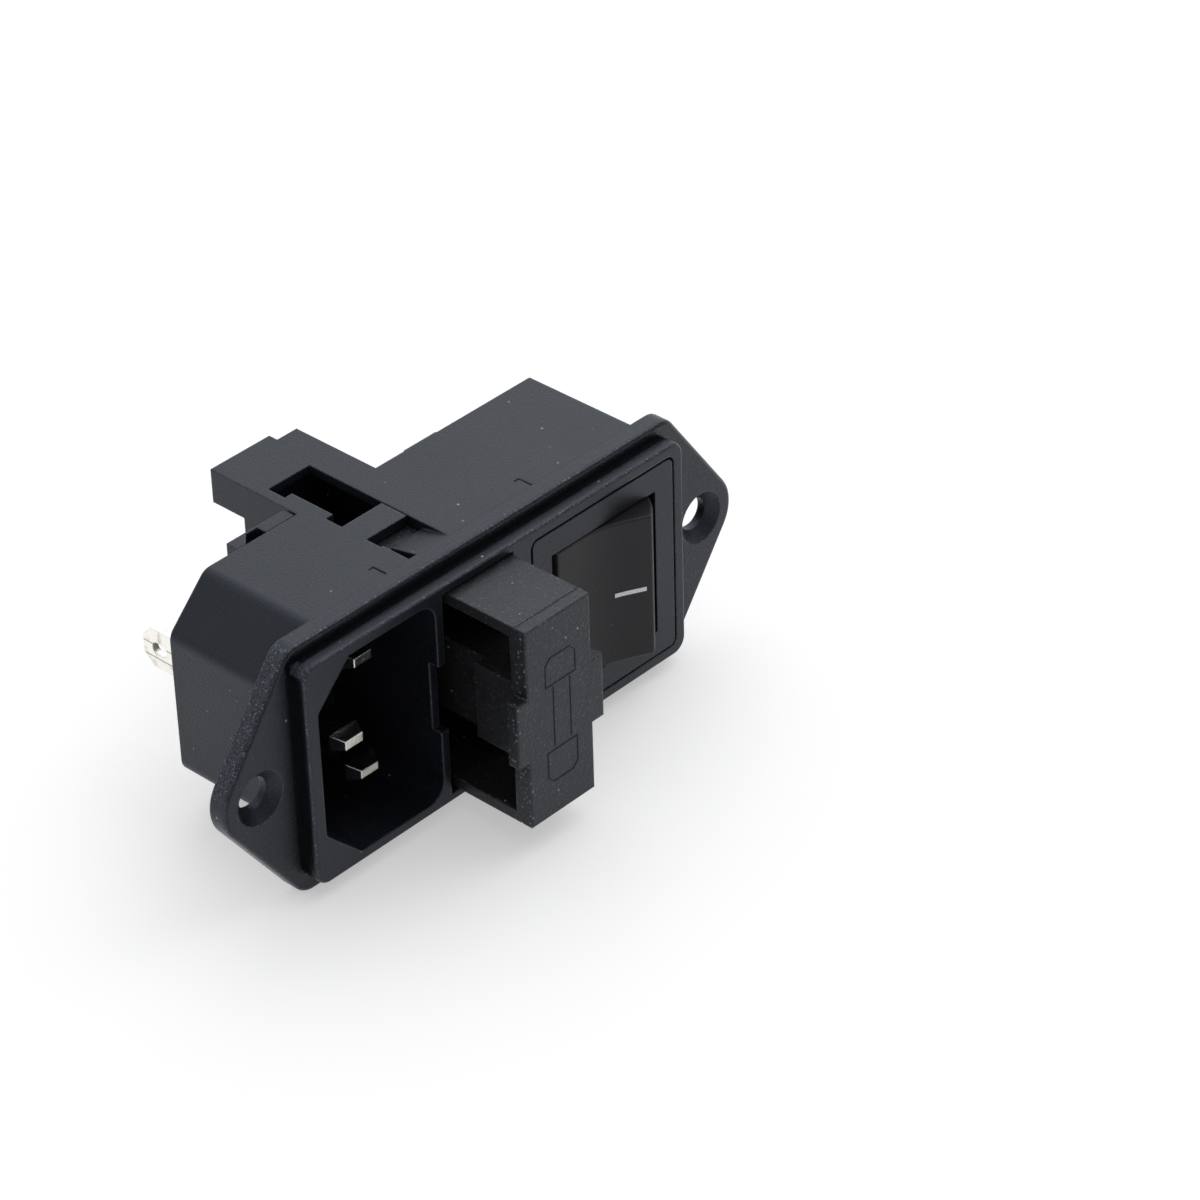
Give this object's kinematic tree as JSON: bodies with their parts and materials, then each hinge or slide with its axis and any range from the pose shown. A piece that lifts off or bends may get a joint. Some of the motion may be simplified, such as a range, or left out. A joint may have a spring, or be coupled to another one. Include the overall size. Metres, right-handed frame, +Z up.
{
  "type": "appliance inlet with fuse drawer and rocker switch",
  "caption": "Panel-mount appliance inlet with countersunk mounting ears, a slide-out fuse drawer and a rocker switch side by side in one moulded housing.",
  "frame": {"origin": "middle of the mounting flange, midway between its screw holes, on the face that rests on the panel", "axes": "+X along the flange from the inlet to the switch, -Y out of the front, +Y into the equipment, +Z up across the flange"},
  "size_m": [0.0754, 0.044, 0.0302],
  "materials": {
    "housing_plastic": "fine spark-eroded texture, glass-filled, black",
    "drawer_plastic": "fine texture, black",
    "switch_plastic": "fine texture, black",
    "rocker_plastic": "satin, black",
    "plunger_plastic": "natural acetal",
    "nickel_brass": "nickel plated, bright",
    "tinned_brass": "tin plated, satin",
    "contact_bronze": "tin plated spring strip",
    "contact_copper": "copper strip with silver contacts",
    "spring_steel": "drawn wire"
  },
  "bodies": {
    "inlet": {"housing": "housing_plastic", "inlet_insert": "housing_plastic", "switch_case": "switch_plastic", "line_pin": "nickel_brass", "neutral_pin": "nickel_brass", "earth_contact": "tinned_brass", "line_rear_contact": "contact_bronze", "line_front_contact": "contact_bronze", "neutral_rear_contact": "contact_bronze", "neutral_front_contact": "contact_bronze", "upper_pivot_terminal": "tinned_brass", "upper_load_terminal": "tinned_brass", "lower_pivot_terminal": "tinned_brass", "lower_load_terminal": "tinned_brass"},
    "drawer": {"fuse_drawer": "drawer_plastic"},
    "rocker": {"rocker": "rocker_plastic", "upper_plunger": "plunger_plastic", "lower_plunger": "plunger_plastic", "upper_plunger_spring": "spring_steel", "lower_plunger_spring": "spring_steel"},
    "seesaws": {"upper_seesaw": "contact_copper", "lower_seesaw": "contact_copper"}
  },
  "joints": [
    {"name": "drawer_slide", "type": "slide", "parent": "inlet", "child": "drawer", "axis": [0, -1, 0], "range_m": [-0.0102, 0.012]},
    {"name": "rocker_pivot", "type": "hinge", "parent": "inlet", "child": "rocker", "pos_m": [0.0155, 0, 0], "axis": [0, 0, 1], "range_deg": [0, 26]},
    {"name": "seesaw_pivot", "type": "hinge", "parent": "inlet", "child": "seesaws", "pos_m": [0.0155, 0.00695, 0], "axis": [0, 0, 1], "range_deg": [-12, 0]}
  ],
  "couplings": [
    {"joint": "seesaw_pivot", "follows": "rocker_pivot", "ratio": -0.4615}
  ]
}
